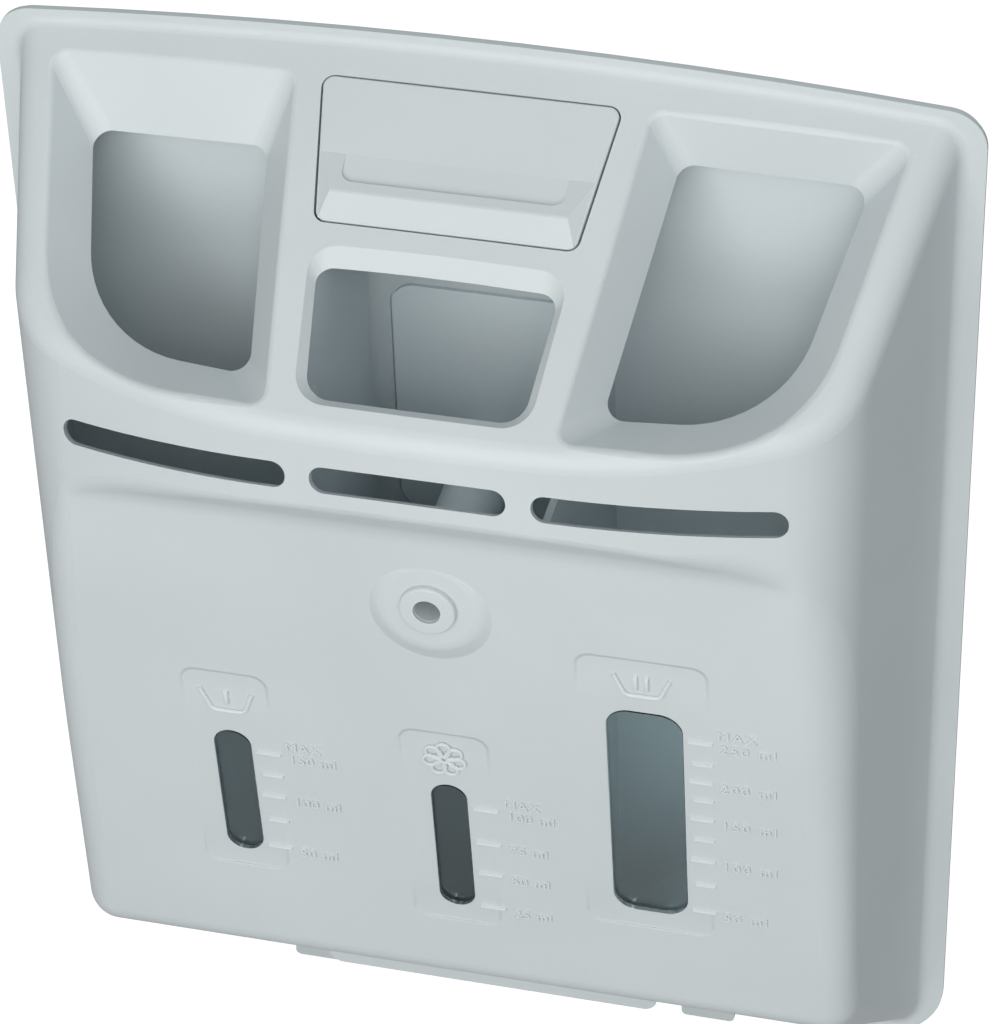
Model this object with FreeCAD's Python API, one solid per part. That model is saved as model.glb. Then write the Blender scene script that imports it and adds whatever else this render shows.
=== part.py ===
import FreeCAD, Part
import math
import os

from FreeCAD import Placement, Rotation, Vector

os.makedirs("parts", exist_ok=True)

# Detergent dispenser unit for the lid of a top loading washing machine, mm.
# X runs to the right of a person facing the front, Z is up, the front faces -Y.
# The origin is the centre of the rear rim plane, which lies against the lid.

# Rim
RIM_W = 245.0              # width of the rim
RIM_H = 305.0              # height of the rim at its corners
RIM_ARCH = 5.2             # rise of the arched top edge at its middle
RIM_R_TOP = 10.0           # top corner radius
RIM_R_LOW = 20.0           # bottom corner radius
RIM_T = 1.4                # thickness of the front cover's rim
RIM_HOLLOW = 3.0           # hollow between the rim and the body
TOP = RIM_H / 2            # level of the top corners
LOW = -RIM_H / 2           # level of the bottom edge
FAR = 2 * RIM_H            # reach of cutting blocks, past the whole unit

# Rear cover
BACK_T = 2.0               # thickness of the rear plate
BACK_INSET = 1.0           # the rear plate stays this far inside the rim's outline
SEAM = -BACK_T             # the plane where both covers are welded together
FACE = SEAM - RIM_T        # front face of the rim

# Body of the front cover
WALL = 2.2                 # wall thickness
NOSE_Y = 82.0              # depth of the nose at its middle
BOW_R = 800.0              # middle of the bowed front, seen from above
BOW_X = 31.2               # half width of that middle part
SIDE_R = 194.0             # tighter bow towards the ends
SIDE_TURN = 19.55          # heading where the bow runs into the corner, degrees
CORNER_R = 25.0            # corner between the bow and the side wall
WALL_TURN = 76.5           # heading of the side walls, degrees
PANEL_A = 53.4             # lean of the pouring panel from the vertical, degrees
PANEL_Y = 5.84             # depth of the pouring panel at the level of the rim's corners
PANEL_CROWN = 1786.0       # radius of the panel's crown
PANEL_EDGE = 7.5           # rounding between panel, nose and side walls
UNDER_Y = NOSE_Y           # the underside of the nose passes this depth
UNDER_Z = 79.5             # at this distance below the corners
CREASE_Y = NOSE_Y - 12.6   # and meets the lower panel at this depth
CREASE_Z = 93.0            # and this distance below the corners
CREASE_R = 13.0            # hollow between the nose and the lower panel
LEAN = 0.1                 # the lower panel loses this depth per mm going down
FOOT_Z = 256.0             # the lower panel ends here, measured from the corners
FOOT_R = 10.0              # rounding of the lower front edge
FOOT_END = 299.0           # the sloped bottom meets the rim here
LOW_EDGE = 9.0             # rounding along the lower panel's sides
NOSE_EDGE = 3.5            # tighter rounding along the nose's lower edge
NOSE_EDGE_X = 70.0         # which widens from here
NOSE_EDGE_END = 92.0       # to here

# Pouring mouths, in panel coordinates: x and the distance down the panel
BEVEL_D = 10.5             # depth of the funnel below the panel
BEVEL_TOP = 6.0            # upper edge of the bevel
BEVEL_LOW = 90.0           # lower edge at the inner corner
BEVEL_IN_TOP = 43.6        # inner edge, top
BEVEL_IN_LOW = 34.6        # inner edge, bottom
BEVEL_OUT_TOP = 106.4      # outer edge, top
BEVEL_OUT_LOW = 91.5       # outer edge where it would meet the lower edge
BEVEL_OUT_S = 88.2         # and how far down that is
BEVEL_R_OUT = 38.0         # large lower outer corner
BEVEL_R = 3.5              # other corners
BEVEL_EASE = 2.0           # rounding of the bevel's edge on the panel
MOUTH_TOP_MAIN = 14.4      # upper edge of the main wash mouth
MOUTH_TOP_PRE = 22.2       # upper edge of the prewash mouth
MOUTH_LOW = 79.8
MOUTH_IN_TOP = 51.2        # inner edge at the main wash mouth's top
MOUTH_IN_LOW = 43.4
MOUTH_OUT_TOP = 96.8       # outer edge at the main wash mouth's top
MOUTH_OUT_LOW = 84.8
MOUTH_OUT_S = 76.0
MOUTH_R_OUT = 31.0
MOUTH_R = 4.5
FUNNEL_T = 1.8             # wall of the funnels
MOUTH_X = 70.0             # a side mouth sits square to the crowned panel at this x
MOUTH_SINK = 1.45
MOUTH_TILT = 2.25

# Softener mouth
SOFT_TOP = 53.4
SOFT_LOW = 85.7
SOFT_X_TOP = 29.6
SOFT_X_LOW = 26.3
SOFT_R_TOP = 4.0
SOFT_R_LOW = 6.5
SOFT_R_OUT = 9.8           # corners of the eased edge
SOFT_BEVEL = 2.4           # depth of the eased edge
SOFT_OUT_TOP = 48.0
SOFT_OUT_LOW = 87.8
SOFT_OUT_X = 2.4           # the eased edge is this much wider on each side

# Outlet slots in the nose
SLOT_Z = 70.2              # centre line at the middle, below the rim's corners
SLOT_BOW = 900.0           # the row of slots follows this radius
SLOT_H = 7.8
SLOT_R = 3.4               # corners of a slot
SLOT_DIP = 26.0            # the slots run inwards and down at this angle, degrees
SLOT_REACH = 30.0          # and are cut this far in
SLOT_MID_X = 23.9          # end of the middle slot
SLOT_IN_X = 29.9           # inner end of the side slots
SLOT_OUT_X = 89.2          # outer end of the side slots

# Siphon outlet
SIPHON_Z = 117.0           # below the rim's corners
BOSS_Y = 68.3              # face of the round pad
BOSS_R = 13.0
BOSS_D = 5.0               # the pad's flank runs this far in
BOSS_SPREAD = 1.75         # and spreads by this much per mm
BOSS_EDGE = 6.0            # rounding of the pad's edge
RING_Y = 69.1              # face of the raised ring
RING_R = 7.1
SIPHON_R = 3.4
PIPE_R = 4.6
PIPE_END = 9.0             # the standpipe ends this far from the rear rim plane

# Level windows on the lower panel: middle, width, upper and lower end, corner radius
WIN_PRE = (-56.4, 10.0, 173.6, 218.6, 4.95)
WIN_SOFT = (0.6, 9.6, 182.2, 228.2, 4.75)
WIN_MAIN = (52.7, 19.6, 144.9, 219.2, 6.0)
WIN_GAP = 0.12             # play around a pane
WIN_PROUD = 0.4            # a pane stands out by this much
WIN_LIP = 2.0              # the pane's flange behind the wall is this much wider
WIN_LIP_T = 1.2

# Walls between the chambers, on the rear cover
PART_X = 30.2              # inner face of a partition
PART_R = 4.0               # hollow between a partition and the rear plate
PART_T = 1.8
PART_GAP = 0.4             # to the front cover
PART_TOP = 42.0            # upper end under the lever's pocket, below the rim's corners
PART_CLEAR = 1.0           # to the front wall of the lever's pocket
NOTCH_Y = 52.0             # a notch keeps the partition clear of the jets from here forwards
NOTCH_TOP = 63.0           # below the rim's corners
NOTCH_LOW = 82.0
RAMP_X = 50.0              # the side chambers' floors rise outwards through this x
RAMP_Z = 252.0             # at this level below the corners
RAMP_RISE = 1.14
RAMP_T = 1.8

# Release lever
LEV_TOP = 5.9              # opening in the panel
LEV_LOW = 43.0
LEV_X_TOP = 37.2
LEV_X_LOW = 32.2
LEV_R = 3.2
LEV_GAP = 0.5              # gap at the lever's ends
LEV_GAP_TOP = 0.3          # gap along its upper edge
LEV_GAP_LOW = 0.45         # gap along its lower edge
LEV_T = 2.4
LEV_EASE = 0.5             # rounding round the lever's face
RIDGE_A = 25.5             # the finger ridge starts to rise here
RIDGE_S = 35.8             # its crest
RIDGE_H = 2.0              # height of the crest above the panel
RIDGE_END = 3.0            # the crest ends this far inside the lever's ends
RIDGE_W = 0.6              # width of the crest
GRIP_X = 27.3              # half width of the finger field in the ridge
GRIP_S = 32.8              # its lower edge
GRIP_RISE = 0.5            # and how high its floor has risen there
GRIP_R = 3.0               # its lower corners
PIVOT_S = 10.0             # pivot axis in panel coordinates
PIVOT_N = -6.0
PIVOT_R = 2.0
PIVOT_PLAY = 0.06          # radial play of the trunnions
EAR_IN = 31.0              # inner face of the lever's ears
EAR_T = 2.4
CHEEK_X = 39.0             # the lever pocket's cheeks
CHEEK_T = 1.8
POCKET_T = 1.8
POCKET_S = 46.5            # the pocket's front wall, down the panel
POCKET_D = 14.0            # and how deep it goes before it turns to the rear
EAR_R = 3.4
PIN_END = 0.4              # the trunnions end this far inside the cheeks' outer faces
HOOK_X = 7.0               # half width of the latch tongue
HOOK_Y = -1.2              # its rear end
HOOK_ROOT = 12.0           # length of its root along the lever
HOOK_RISE = 2.0            # thickness above and below the pivot's level
HOOK_DROP = 4.5            # the barb hangs this far below the pivot's level
HOOK_T = 2.2               # thickness of the barb
SPRING_WIRE = 0.4
SPRING_R = 2.7
SPRING_PITCH = 0.95
SPRING_TURNS = 4
SPRING_LEG = 14.0
SPRING_TAIL = 5.0
SPRING_GAP = 0.2           # from the coil to the lever's ear

# Siphon cap in the rear cover
CAP_X = 25.1
CAP_TOP = 69.3
CAP_LOW = 140.0
CAP_R = 6.0
CAP_GAP = 0.6
CAP_T = 2.2
CAP_BACK = 0.15            # the cap's rear face lies this far inside the rim plane
BELL_R = 8.0
BELL_BORE = 6.5
BELL_END = 58.0
CATCH_X = 12.0             # opening in the rear plate for the lid's catch
CATCH_TOP = 6.0
CATCH_LOW = 27.0
CAP_RIM = 1.5              # the siphon cap's rim overlaps the opening by this much
CAP_SEAT = 1.0             # depth of the rebate for that rim
CAP_PLAY = 0.1             # between that rim and the rebate's floor
CAP_GRIP_X = 7.0           # half width of the finger recess in the cap's rear face
CAP_GRIP_UP = 5.0          # above the cap's lower edge
CAP_GRIP_H = 8.0
CAP_GRIP_R = 3.0

# Recessed fields round the windows: middle, width, upper and lower end, corner radius
PLATE_PRE = (-56.5, 22.6, 152.0, 224.8, 4.0)
PLATE_SOFT = (0.4, 23.2, 163.0, 234.4, 4.0)
PLATE_MAIN = (52.5, 33.1, 126.6, 225.6, 4.0)
PLATE_D = 0.35

# Fixing features at the bottom
TAB_IN = 49.0
TAB_OUT = 64.0
TAB_DROP = 6.2
TAB_ROOT = 6.0             # a tab's root on the rear plate
TAB_R = 1.5
LIP_X = 46.7
LIP_Y = 21.2
LIP_T = 2.6
LIP_Z = 289.2
LIP_H = 14.0
LIP_R = 4.0

SIN_P = math.sin(math.radians(PANEL_A))
COS_P = math.cos(math.radians(PANEL_A))
PANEL = Placement(Vector(0, -PANEL_Y, TOP), Rotation(Vector(1, 0, 0), 90 - PANEL_A))
LOWER_A = math.degrees(math.atan(LEAN))
LOWER = Placement(Vector(0, -CREASE_Y, TOP - CREASE_Z), Rotation(Vector(1, 0, 0), 90 + LOWER_A))


def on_panel(shape):
    """Move a shape drawn in (x, -distance down the panel, height above it) into place."""
    moved = shape.copy()
    moved.Placement = PANEL.multiply(moved.Placement)
    return moved


def on_lower(shape):
    """Move a shape drawn on the lower panel (x, up, outwards) into place."""
    moved = shape.copy()
    moved.Placement = LOWER.multiply(moved.Placement)
    return moved


def lower_up(drop):
    """Distance up the lower panel for a level given below the rim's corners."""
    return (CREASE_Z - drop) * math.sqrt(1 + LEAN * LEAN)


def lower_depth(drop):
    """Depth of the lower panel at a level below the rim's corners."""
    return CREASE_Y - LEAN * (drop - CREASE_Z)


def turn(a, b, c):
    """Unit vectors from corner b to its neighbours, and half the angle between them."""
    u = (a - b).normalize()
    v = (c - b).normalize()
    return u, v, u.getAngle(v) / 2


def rounded(points, radii):
    """Closed wire through 3-D points of one plane with a radius at each corner."""
    pts = [Vector(*p) for p in points]
    n = len(pts)
    ends = []
    for i in range(n):
        u, v, half = turn(pts[i - 1], pts[i], pts[(i + 1) % n])
        r = radii[i]
        if r <= 0:
            ends.append((pts[i], None, pts[i]))
            continue
        run = r / math.tan(half)
        mid = (u + v).normalize() * (r / math.sin(half) - r)
        ends.append((pts[i] + u * run, pts[i] + mid, pts[i] + v * run))
    edges = []
    for i in range(n):
        start, mid, end = ends[i]
        if mid is not None:
            edges.append(Part.Arc(start, mid, end).toShape())
        nxt = ends[(i + 1) % n][0]
        if (nxt - end).Length > 1e-6:
            edges.append(Part.makeLine(end, nxt))
    return Part.Wire(edges)


def prism(wire, vec):
    return Part.Face(wire).extrude(Vector(*vec))


def loft(*wires):
    return Part.makeLoft(list(wires), True, True)


def arc_by_heading(p, head, r, turned):
    """Arc that leaves point p at a heading and turns left; returns the edge and its end."""
    a0 = math.radians(head)
    centre = Vector(p.x - r * math.sin(a0), p.y + r * math.cos(a0), 0)
    pts = []
    for k in (0.5, 1.0):
        a = a0 + math.radians(turned) * k
        pts.append(Vector(centre.x + r * math.sin(a), centre.y - r * math.cos(a), 0))
    return Part.Arc(p, pts[0], pts[1]).toShape(), pts[1]


def plan_prism(inset, rear):
    """Body outline seen from above, from the bowed nose to the rear, as a tall prism."""
    head = math.degrees(math.asin(BOW_X / BOW_R))
    p = Vector(0, -NOSE_Y + inset, 0)
    right = []
    for r, a0, a1 in (
        (BOW_R, 0.0, head),
        (SIDE_R, head, SIDE_TURN),
        (CORNER_R, SIDE_TURN, WALL_TURN),
    ):
        edge, p = arc_by_heading(p, a0, r - inset, a1 - a0)
        right.append(edge)
    run = (rear - p.y) / math.tan(math.radians(WALL_TURN))
    back = Vector(p.x + run, rear, 0)
    right.append(Part.makeLine(p, back))
    flip = [e.mirror(Vector(0, 0, 0), Vector(1, 0, 0)) for e in right]
    across = Part.makeLine(back, Vector(-back.x, back.y, 0))
    wire = Part.Wire(Part.__sortEdges__(right + flip + [across]))
    base = Part.Face(wire)
    base.translate(Vector(0, 0, LOW - FAR))
    return base.extrude(Vector(0, 0, RIM_H + 2 * FAR))


def moved_line(a, b, inset):
    """Line a-b of the side profile moved to its left by the inset."""
    along = (b - a).normalize()
    side = Vector(0, -along.z, along.y) * inset
    return a + side, along


def meet(p, u, q, v):
    """Crossing of two lines in the plane of the side profile."""
    det = u.y * v.z - u.z * v.y
    w = q - p
    k = (w.y * v.z - w.z * v.y) / det
    return p + u * k


def side_prism(inset, rear):
    """Side profile below the pouring panel, drawn from the nose down to the rear."""
    front = Vector(0, -NOSE_Y - 20, 0)
    slope = (CREASE_Z - UNDER_Z) / (UNDER_Y - CREASE_Y)
    under = Vector(0, front.y, TOP - UNDER_Z + slope * (NOSE_Y + 20 - UNDER_Y))
    crease = Vector(0, -CREASE_Y, TOP - CREASE_Z)
    foot = Vector(0, -lower_depth(FOOT_Z), TOP - FOOT_Z)
    end = Vector(0, FACE, TOP - FOOT_END)
    a, u = moved_line(under, crease, inset)
    b, v = moved_line(crease, foot, inset)
    c, w = moved_line(foot, end, inset)
    at_front = a + u * ((front.y - a.y) / u.y)
    at_rear = c + w * ((rear - c.y) / w.y)
    pts = [
        (0, rear, TOP + FAR),
        (0, front.y, TOP + FAR),
        tuple(at_front),
        tuple(meet(a, u, b, v)),
        tuple(meet(b, v, c, w)),
        tuple(at_rear),
    ]
    wire = rounded(pts, [0, 0, 0, CREASE_R + inset, FOOT_R - inset, 0])
    wire.translate(Vector(-RIM_W, 0, 0))
    return prism(wire, (2 * RIM_W, 0, 0))


def above_panel(inset):
    """Everything above the crowned pouring panel."""
    radius = PANEL_CROWN - inset
    lift = -PANEL_CROWN
    cyl = Part.makeCylinder(radius, FAR, Vector(0, FAR / 2, lift), Vector(0, -1, 0))
    block = Part.makeBox(FAR, FAR, FAR, Vector(-FAR / 2, -FAR / 2, -RIM_H / 3))
    return on_panel(block.cut(cyl))


def kind(face):
    """Tell the panel, the upright walls, the lower surfaces and the rear apart."""
    u0, u1, v0, v1 = face.ParameterRange
    n = face.normalAt((u0 + u1) / 2, (v0 + v1) / 2)
    if n.y > 0.9:
        return "rear"
    if n.z > 0.3:
        return "panel"
    if abs(n.z) < 0.02:
        return "wall"
    return "low"


def edges_between(solid, first, second):
    one = [f for f in solid.Faces if kind(f) == first]
    two = [f for f in solid.Faces if kind(f) == second]
    found = []
    for f in one:
        for e in f.Edges:
            if any(e.isSame(g) for h in two for g in h.Edges):
                found.append(e)
    return found


def round_low(solid, tight, wide):
    """Round the lower edges, tight along the nose and wide down the sides."""
    edges = edges_between(solid, "wall", "low")
    rows = []
    for i, e in enumerate(solid.Edges):
        if any(e.isSame(k) for k in edges):
            ends = []
            for p in (e.valueAt(e.FirstParameter), e.valueAt(e.LastParameter)):
                k = (abs(p.x) - NOSE_EDGE_X) / (NOSE_EDGE_END - NOSE_EDGE_X)
                ends.append(tight + (wide - tight) * min(1, max(0, k)))
            rows.append((i + 1, ends[0], ends[1]))
    sheet = FreeCAD.newDocument("rounding")
    base = sheet.addObject("Part::Feature", "base")
    base.Shape = solid
    soft = sheet.addObject("Part::Fillet", "soft")
    soft.Base = base
    soft.Edges = rows
    sheet.recompute()
    shape = soft.Shape.copy()
    FreeCAD.closeDocument(sheet.Name)
    return shape.Solids[0]


def body(inset, rear):
    """The body as a solid, with all its roundings, moved inwards by the inset."""
    solid = plan_prism(inset, rear).common(side_prism(inset, rear)).cut(above_panel(inset))
    solid = solid.Solids[0]
    solid = solid.makeFillet(PANEL_EDGE - inset, edges_between(solid, "wall", "panel"))
    return round_low(solid, NOSE_EDGE - inset, LOW_EDGE - inset)


def rim_plate(inset, front, rear):
    """Plate with the rim's outline: straight sides, arched top, rounded corners."""
    x = RIM_W / 2 - inset
    z0 = LOW + inset
    z1 = TOP - inset
    a, b = Vector(-x, front, z0), Vector(x, front, z0)
    c, d = Vector(x, front, z1), Vector(-x, front, z1)
    arch = Part.Arc(c, Vector(0, front, z1 + RIM_ARCH), d).toShape()
    sides = [Part.makeLine(a, b), Part.makeLine(b, c), arch, Part.makeLine(d, a)]
    plate = prism(Part.Wire(sides), (0, rear - front, 0))
    corners = [e for e in plate.Edges if abs(e.tangentAt(e.FirstParameter).y) > 0.99]
    upper = [e for e in corners if e.CenterOfMass.z > 0]
    lower = [e for e in corners if e.CenterOfMass.z < 0]
    plate = plate.makeFillet(RIM_R_TOP - inset, upper)
    spots = [k.CenterOfMass for k in lower]
    lower = [e for e in plate.Edges if any(e.CenterOfMass.isEqual(c, 1e-3) for c in spots)]
    return plate.makeFillet(RIM_R_LOW - inset, lower)


def spread(points, grow):
    """Corner points of a convex outline after its sides have moved outwards."""
    n = len(points)
    cx = sum(p[0] for p in points) / n
    cy = sum(p[1] for p in points) / n
    lines = []
    for i in range(n):
        p, q = points[i], points[(i + 1) % n]
        dx, dy = q[0] - p[0], q[1] - p[1]
        size = math.hypot(dx, dy)
        nx, ny = dy / size, -dx / size
        if (p[0] - cx) * nx + (p[1] - cy) * ny < 0:
            nx, ny = -nx, -ny
        lines.append((p[0] + nx * grow, p[1] + ny * grow, dx, dy))
    moved = []
    for i in range(n):
        x1, y1, dx1, dy1 = lines[i - 1]
        x2, y2, dx2, dy2 = lines[i]
        det = dx1 * dy2 - dy1 * dx2
        k = ((x2 - x1) * dy2 - (y2 - y1) * dx2) / det
        moved.append((x1 + dx1 * k, y1 + dy1 * k))
    return moved


def mouth_wire(top, step, grow):
    """Outline of a right-hand funnel; step 0 is the panel and 1 the mouth itself."""
    k_in = (MOUTH_IN_LOW - MOUTH_IN_TOP) / (MOUTH_LOW - MOUTH_TOP_MAIN)
    k_out = (MOUTH_OUT_LOW - MOUTH_OUT_TOP) / (MOUTH_OUT_S - MOUTH_TOP_MAIN)
    drop = top - MOUTH_TOP_MAIN
    bevel = [
        (BEVEL_IN_TOP, BEVEL_TOP),
        (BEVEL_OUT_TOP, BEVEL_TOP),
        (BEVEL_OUT_LOW, BEVEL_OUT_S),
        (BEVEL_IN_LOW, BEVEL_LOW),
    ]
    mouth = [
        (MOUTH_IN_TOP + k_in * drop, top),
        (MOUTH_OUT_TOP + k_out * drop, top),
        (MOUTH_OUT_LOW, MOUTH_OUT_S),
        (MOUTH_IN_LOW, MOUTH_LOW),
    ]
    radii_a = (BEVEL_R, BEVEL_R, BEVEL_R_OUT, BEVEL_R)
    radii_b = (MOUTH_R, MOUTH_R, MOUTH_R_OUT, MOUTH_R)
    flat = [(a[0] + (b[0] - a[0]) * step, a[1] + (b[1] - a[1]) * step) for a, b in zip(bevel, mouth)]
    radii = [max(a + (b - a) * step, 1.0) + grow for a, b in zip(radii_a, radii_b)]
    pts = [(p[0] - MOUTH_X, -p[1], -BEVEL_D * step) for p in spread(flat, grow)]
    return rounded(pts, radii)


def funnel(top, side, steps, grow):
    """Solid between two outlines of a funnel, on the right (1) or the left (-1)."""
    solid = loft(mouth_wire(top, steps[0], grow), mouth_wire(top, steps[1], grow))
    spot = Placement(Vector(MOUTH_X, 0, -MOUTH_SINK), Rotation(Vector(0, 1, 0), MOUTH_TILT))
    solid.Placement = PANEL.multiply(spot).multiply(solid.Placement)
    if side < 0:
        solid = solid.mirror(Vector(0, 0, 0), Vector(1, 0, 0))
    return solid


def trapezoid(x_top, top, x_low, low, height, radii):
    """Outline with level top and bottom on the panel."""
    pts = [(-x_top, -top, height), (x_top, -top, height), (x_low, -low, height), (-x_low, -low, height)]
    return rounded(pts, radii)


def softener_cut():
    """Softener mouth with its eased edge."""
    out = trapezoid(
        SOFT_X_TOP + 2 * SOFT_OUT_X, 2 * SOFT_OUT_TOP - SOFT_TOP,
        SOFT_X_LOW + 2 * SOFT_OUT_X, 2 * SOFT_OUT_LOW - SOFT_LOW,
        SOFT_BEVEL, [SOFT_R_OUT] * 4,
    )
    radii = [SOFT_R_TOP, SOFT_R_TOP, SOFT_R_LOW, SOFT_R_LOW]
    rim = trapezoid(SOFT_X_TOP, SOFT_TOP, SOFT_X_LOW, SOFT_LOW, -SOFT_BEVEL, radii)
    eased = loft(out, rim)
    through = prism(rim, (0, 0, -3 * WALL))
    return on_panel(eased.fuse(through))


def nose_depth(x):
    """Depth of the bowed nose at a distance from the middle."""
    head = math.asin(BOW_X / BOW_R)
    near = math.asin(min(abs(x), BOW_X) / BOW_R)
    depth = NOSE_Y - BOW_R * (1 - math.cos(near))
    if abs(x) > BOW_X:
        turned = math.asin((abs(x) - BOW_X) / SIDE_R + math.sin(head))
        depth -= SIDE_R * (math.cos(head) - math.cos(turned))
    return depth


def slot(x0, x1):
    """Cutter of an outlet slot that follows the arched row and runs inwards and down."""
    dip = math.tan(math.radians(SLOT_DIP))
    out_y = -NOSE_Y - SLOT_R

    def edge(up):
        pts = []
        for k in range(7):
            x = x0 + (x1 - x0) * k / 6
            level = TOP - SLOT_Z - x * x / (2 * SLOT_BOW) + up
            pts.append(Vector(x, out_y, level - dip * (nose_depth(x) + out_y)))
        curve = Part.BSplineCurve()
        curve.interpolate(pts)
        return curve.toShape(), pts[0], pts[-1]

    upper, a, b = edge(SLOT_H / 2)
    lower, c, d = edge(-SLOT_H / 2)
    wire = Part.Wire(Part.__sortEdges__([upper, Part.makeLine(b, d), lower, Part.makeLine(c, a)]))
    cutter = prism(wire, (0, SLOT_REACH, -dip * SLOT_REACH))
    along = Vector(0, 1, -dip).normalize()
    corners = [e for e in cutter.Edges if abs(e.tangentAt(e.FirstParameter).dot(along)) > 0.999]
    return cutter.makeFillet(SLOT_R, corners)


def round_bar(r, y0, y1, z):
    """Cylinder along Y at the middle of the unit."""
    return Part.makeCylinder(r, abs(y1 - y0), Vector(0, min(y0, y1), z), Vector(0, 1, 0))


def window_block(win, grow, n0, n1):
    """Block with a level window's outline on the lower panel."""
    x, w, top, low, r = win
    half = w / 2 + grow
    v0 = lower_up(low) - grow
    v1 = lower_up(top) + grow
    pts = [(x - half, v0, n0), (x + half, v0, n0), (x + half, v1, n0), (x - half, v1, n0)]
    return on_lower(prism(rounded(pts, [min(r + grow, half - 0.01)] * 4), (0, 0, n1 - n0)))


def plate_cut(plate):
    """Shallow hollow round a level window, deepest in its middle and running out at its sides."""
    x, w, top, low, r = plate
    bend = w * w / (8 * PLATE_D) + PLATE_D / 2
    mid = (lower_up(top) + lower_up(low)) / 2
    bar = Part.makeCylinder(bend, FAR, Vector(x, mid - FAR / 2, bend - PLATE_D), Vector(0, 1, 0))
    return window_block(plate, 0, -PLATE_D - WALL / 2, 3).common(on_lower(bar))


def pivot_axis(x0, x1, r):
    """Round bar on the lever's pivot axis."""
    bar = Part.makeCylinder(r, x1 - x0, Vector(x0, -PIVOT_S, PIVOT_N), Vector(1, 0, 0))
    return on_panel(bar)


def pocket():
    """Walls that part the release lever's pocket from the chambers."""
    knee_n = -POCKET_D
    out_x = CHEEK_X + CHEEK_T
    front = Part.makeBox(2 * out_x, POCKET_T, POCKET_D, Vector(-out_x, -POCKET_S - POCKET_T, knee_n))
    front = on_panel(front)
    knee_y = -PANEL_Y - SIN_P * POCKET_S - COS_P * knee_n
    knee_z = TOP - COS_P * POCKET_S + SIN_P * knee_n
    floor_y = knee_y - POCKET_T
    floor = Part.makeBox(2 * out_x, SEAM - floor_y, POCKET_T, Vector(-out_x, floor_y, knee_z - POCKET_T))
    walls = front.fuse(floor)
    for side in (-1, 1):
        x = CHEEK_X if side > 0 else -out_x
        pts = [
            (x, SEAM, TOP + 10),
            (x, SEAM, knee_z - POCKET_T),
            (x, floor_y, knee_z - POCKET_T),
            tuple(PANEL.multVec(Vector(x, -POCKET_S - POCKET_T, 2))),
            tuple(PANEL.multVec(Vector(x, 20, 2))),
        ]
        cheek = prism(Part.makePolygon([Vector(*p) for p in pts + pts[:1]]), (CHEEK_T, 0, 0))
        walls = walls.fuse(cheek)
    return walls


def low_corners(block):
    """The lower edges of a block that run from front to rear."""
    middle = block.CenterOfMass.z
    return [e for e in block.Edges if e.BoundBox.ZLength < 0.01 and e.BoundBox.XLength < 0.01
            and e.CenterOfMass.z < middle]


def rim_hollow(cover):
    """Hollow out the corner where the body stands on the rim."""
    foot = []
    for e in cover.Edges:
        box = e.BoundBox
        if box.YMax - box.YMin < 0.01 and abs(box.YMin - FACE) < 0.01:
            far = max(abs(box.XMin), abs(box.XMax)) > RIM_W / 2 - 1
            if not far and box.ZMin > LOW + 1 and e.CenterOfMass.z < TOP - 1:
                foot.append(e)
    return cover.makeFillet(RIM_HOLLOW, foot)


def ease_bevel(cover, side):
    """Round the edge where a funnel's bevel runs out into the panel."""
    back = PANEL.inverse()
    rims = []
    for e in cover.Edges:
        spots = [back.multVec(p) for p in e.discretize(5)]
        lift = [abs(math.hypot(q.x, q.z + PANEL_CROWN) - PANEL_CROWN) for q in spots]
        inside = all(q.x * side > BEVEL_IN_LOW - 2 and -q.y < BEVEL_LOW + 2 for q in spots)
        if max(lift) < 0.01 and inside and all(-q.y > BEVEL_TOP - 2 for q in spots):
            rims.append(e)
    sharp = []
    for e in rims:
        pair = [f for f in cover.Faces if any(e.isSame(g) for g in f.Edges)]
        p = e.valueAt((e.FirstParameter + e.LastParameter) / 2)
        normals = [f.normalAt(*f.Surface.parameter(p)) for f in pair]
        if normals[0].getAngle(normals[1]) > 0.1:
            sharp.append(e)
    return cover.makeFillet(BEVEL_EASE, sharp)


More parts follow.
